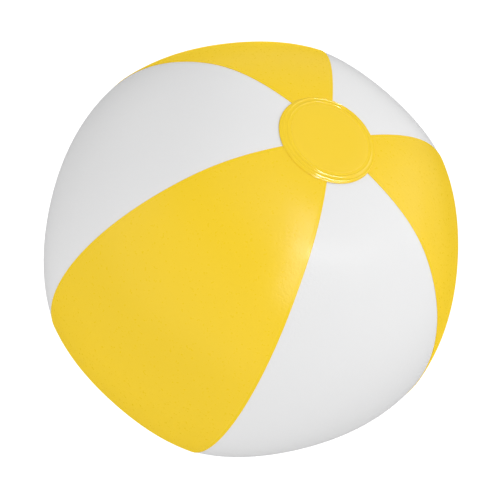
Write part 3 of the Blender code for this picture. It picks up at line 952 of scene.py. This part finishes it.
def milky_plastic(name):
    """Moulded vinyl: pale, a little cloudy and fairly smooth."""
    material, tree, shader = start_finish(name)
    cloud = add_noise(tree, *CLOUD)
    skin = add_noise(tree, *MOULD_SKIN)
    tree.links.new(mixed_colour(tree, cloud, *MILK_TONES), shader.inputs["Base Color"])
    tree.links.new(ranged(tree, skin, *MILK_ROUGHNESS), shader.inputs["Roughness"])
    fine = add_node(tree, "ShaderNodeBump", {
        "Height": skin, "Strength": MOULD_GRAIN_STRENGTH, "Distance": MOULD_GRAIN_DEPTH,
    })
    tree.links.new(fine.outputs["Normal"], shader.inputs["Normal"])
    shader.inputs["Subsurface Weight"].default_value = MILK_WEIGHT
    shader.inputs["Subsurface Scale"].default_value = MILK_DEPTH
    return material


finishes["valve_plastic"] = milky_plastic("milky_vinyl")
print("valve finish:", finishes["valve_plastic"].name)

# %% Put the finishes on
for piece in pieces:
    finish = "disc_film" if piece in discs else piece["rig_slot"]
    piece.data.materials.append(finishes[finish])
print("finished", len(pieces), "pieces")

# %% [markdown]
# A white ball on a white ground needs light with a direction, or its edge is lost. The floor is a light
# table, a pale pane lit from below that sends back little of the lamps' light, and far out its glow falls
# to the brightness of the walls, so that no horizon shows. Its mirror image would lie as a haze over the
# ball's lower half, so reflections skip it.

# %% Floor
FLOOR_SIZE = 60.0
FLOOR_MOTTLE = (3.0, 2.0)  # scale and detail
FLOOR_TONES = ((0.03, 0.03, 0.03), (0.02, 0.02, 0.02))
GLOW_RADIUS, FADE_RADIUS = 1.5, 6.0
GLOW, FAR_GLOW = 1.25, 0.377


def pale_floor(height):
    """A dull pane with a very faint tone, and a glow that fades with the distance from the ball."""
    material, tree, shader = start_finish("light_table")
    tone = mixed_colour(tree, add_noise(tree, *FLOOR_MOTTLE), *FLOOR_TONES)
    tree.links.new(tone, shader.inputs["Base Color"])
    shader.inputs["Specular IOR Level"].default_value = 0.0
    place = add_node(tree, "ShaderNodeTexCoord").outputs["Object"]
    ends = {0: place, 1: (0.0, 0.0, height)}
    away = add_node(tree, "ShaderNodeVectorMath", ends, operation="DISTANCE").outputs["Value"]
    share = add_node(tree, "ShaderNodeMapRange", {
        "Value": away, "From Min": GLOW_RADIUS, "From Max": FADE_RADIUS,
    }, interpolation_type="SMOOTHSTEP").outputs["Result"]
    glow = mixed_colour(tree, share, (GLOW,) * 3, (FAR_GLOW,) * 3)
    tree.links.new(glow, shader.inputs["Emission Color"])
    shader.inputs["Emission Strength"].default_value = 1.0
    return material


floor_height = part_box("end_disc_bottom")[0].z
floor_corners = np.array([[-1, -1], [1, -1], [1, 1], [-1, 1]]) * FLOOR_SIZE / 2
floor_points = np.column_stack([floor_corners, np.full(len(floor_corners), floor_height)])
floor_mesh = bpy.data.meshes.new("floor")
floor_mesh.from_pydata(floor_points.tolist(), [], [(0, 1, 2, 3)])
floor_mesh.materials.append(pale_floor(floor_height))
floor = bpy.data.objects.new("floor", floor_mesh)
bpy.context.scene.collection.objects.link(floor)
floor.visible_glossy = False
print("floor at", round(floor_height, 4))

# %% [markdown]
# The room is evenly pale. Below the horizon it is dark, which only reflections see, because the floor hides
# it from the rest. Soft boxes light the ball. A tall strip to the right of the camera draws the satin
# streak along the front gore, a level strip further right glints on the disc's rings, and two more give the
# film a sheen in front and behind. Three wide ones at the back, at the left and overhead stand for white
# walls: they lift the ball's edges, and leave no mirror image. The power that a light needs grows with the
# square of its distance, so each is given as the brightness it makes at the ball, and the power is worked
# out from that.

# %% Room
ROOM_LIGHT, UNDER_LIGHT = 0.39, 0.07
UNDER_EDGE = -0.3


def studio_room():
    """A background that is even above the horizon and dims below it, down to the height UNDER_EDGE."""
    world = bpy.data.worlds.new("soft_room")
    world.use_nodes = True
    tree = world.node_tree
    background = tree.nodes["Background"]
    direction = add_node(tree, "ShaderNodeTexCoord").outputs["Object"]
    height = add_node(tree, "ShaderNodeSeparateXYZ", {"Vector": direction}).outputs["Z"]
    strength = add_node(tree, "ShaderNodeMapRange", {
        "Value": height, "From Min": UNDER_EDGE, "From Max": 0.0, "To Min": UNDER_LIGHT, "To Max": ROOM_LIGHT,
    }, interpolation_type="SMOOTHSTEP").outputs["Result"]
    background.inputs["Color"].default_value = (1.0, 1.0, 1.0, 1.0)
    tree.links.new(strength, background.inputs["Strength"])
    return world


bpy.context.scene.world = studio_room()
bpy.context.scene.view_settings.view_transform = "Standard"
print("room light", ROOM_LIGHT, "above the horizon and", UNDER_LIGHT, "below")

# %% Soft boxes
STRIP_DISTANCE, BOX_DISTANCE = 1.5, 1.8


def add_soft_box(name, towards, upright, distance, size, brightness, mirrored=True):
    """A rectangular lamp that faces the ball from one direction, with its height along upright as far as it
    can. One that isn't mirrored lights the ball without showing as a highlight."""
    lamp = bpy.data.lights.new(name, "AREA")
    lamp.shape = "RECTANGLE"
    lamp.size, lamp.size_y = size
    lamp.energy = brightness * (math.pi * distance) ** 2
    box = bpy.data.objects.new(name, lamp)
    bpy.context.scene.collection.objects.link(box)
    box.visible_glossy = mirrored
    towards = towards / np.linalg.norm(towards)
    across = np.cross(upright, towards)
    across = across / np.linalg.norm(across)
    box.matrix_world = pose_matrix(across, np.cross(towards, across), towards, towards * distance)
    print(name, "at", np.round(towards * distance, 2), "with", round(lamp.energy, 1), "W")


def from_angles(azimuth, elevation):
    """Direction at an azimuth, counted from the ball's front, and at an elevation, both in degrees."""
    return camera_axes(math.radians(azimuth), math.radians(elevation), 0.0)[2]


straight_up = np.array([0.0, 0.0, 1.0])
streak_side = view_right * 0.42 + view_up * 0.12 + view_back * 0.90
streak_upright = view_up * 0.92 + view_right * 0.39
glint_side = view_right * 0.67 + view_up * 0.10 + view_back * 0.735
glint_upright = view_up + view_right * 0.22
add_soft_box("tall_soft_box", streak_side, streak_upright, STRIP_DISTANCE, (0.08, 1.8), 0.26)
add_soft_box("level_soft_box", glint_side, glint_upright, STRIP_DISTANCE, (1.0, 0.07), 0.16)
add_soft_box("front_soft_box", from_angles(-10, 10), straight_up, BOX_DISTANCE, (4.0, 1.6), 0.17)
add_soft_box("rear_soft_box", from_angles(145, 38), straight_up, BOX_DISTANCE, (1.2, 1.2), 0.12)
for name, towards, upright, size, brightness in (
    ("back_wall", from_angles(180, 14), straight_up, (3.0, 1.0), 0.22),
    ("left_wall", from_angles(-75, 12), straight_up, (2.0, 1.0), 0.14),
    ("ceiling", from_angles(180, 87), from_angles(0, 0), (2.0, 2.0), 0.22),
):
    add_soft_box(name, towards, upright, BOX_DISTANCE, size, brightness, mirrored=False)
